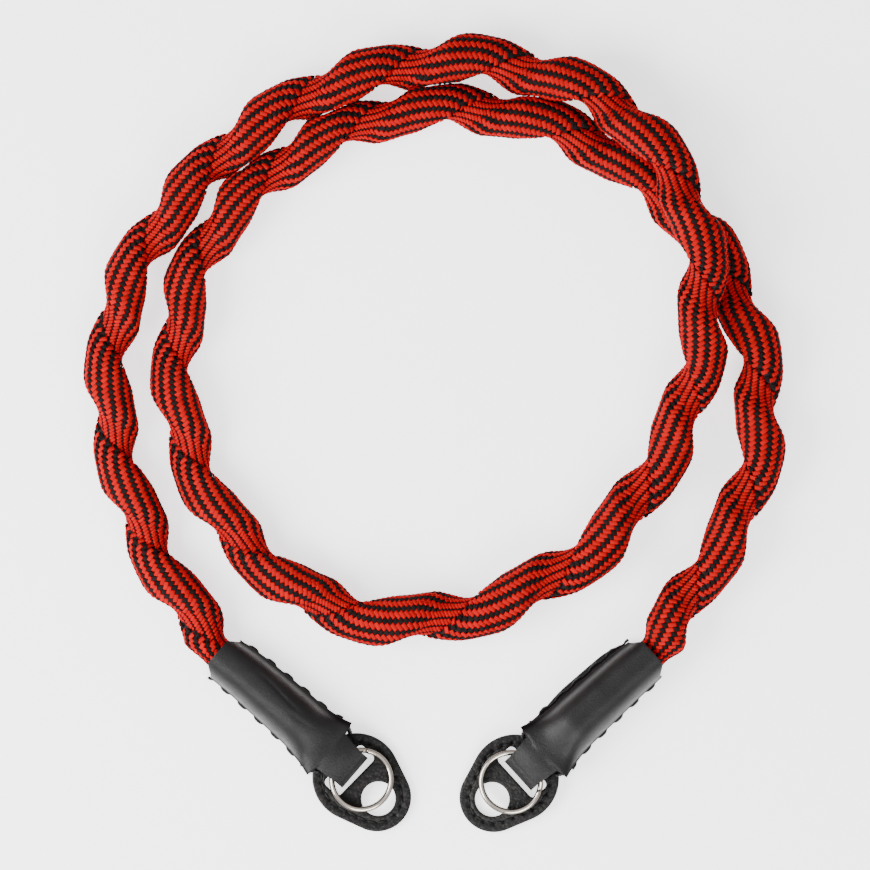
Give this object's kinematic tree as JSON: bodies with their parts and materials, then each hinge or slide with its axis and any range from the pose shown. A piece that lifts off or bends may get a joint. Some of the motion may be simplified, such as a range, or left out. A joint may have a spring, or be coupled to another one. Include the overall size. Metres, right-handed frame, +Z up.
{
  "type": "camera strap",
  "caption": "Round braided cord lying in loose loops, each end gripped by a folded leather sleeve that holds a split ring over a leather ring tab.",
  "frame": {"origin": "on the surface the strap lies on, in the middle of the box round its two end fittings", "axes": "+Z up from the surface, +Y from the end fittings across the loops, +X to the right seen from above"},
  "size_m": [0.1903, 0.2162, 0.0267],
  "materials": {
    "braid_red": "braided polyester, satin, red floats between black ones",
    "leather": "smooth black leather with a soft sheen",
    "tab_leather": "black leather in two stitched layers, worn edge",
    "ring_steel": "polished nickel-plated spring steel"
  },
  "bodies": {
    "root": {"cord": "braid_red", "left_sleeve": "leather", "right_sleeve": "leather", "left_ring": "ring_steel", "right_ring": "ring_steel", "left_tab": "tab_leather", "right_tab": "tab_leather"}
  },
  "joints": []
}
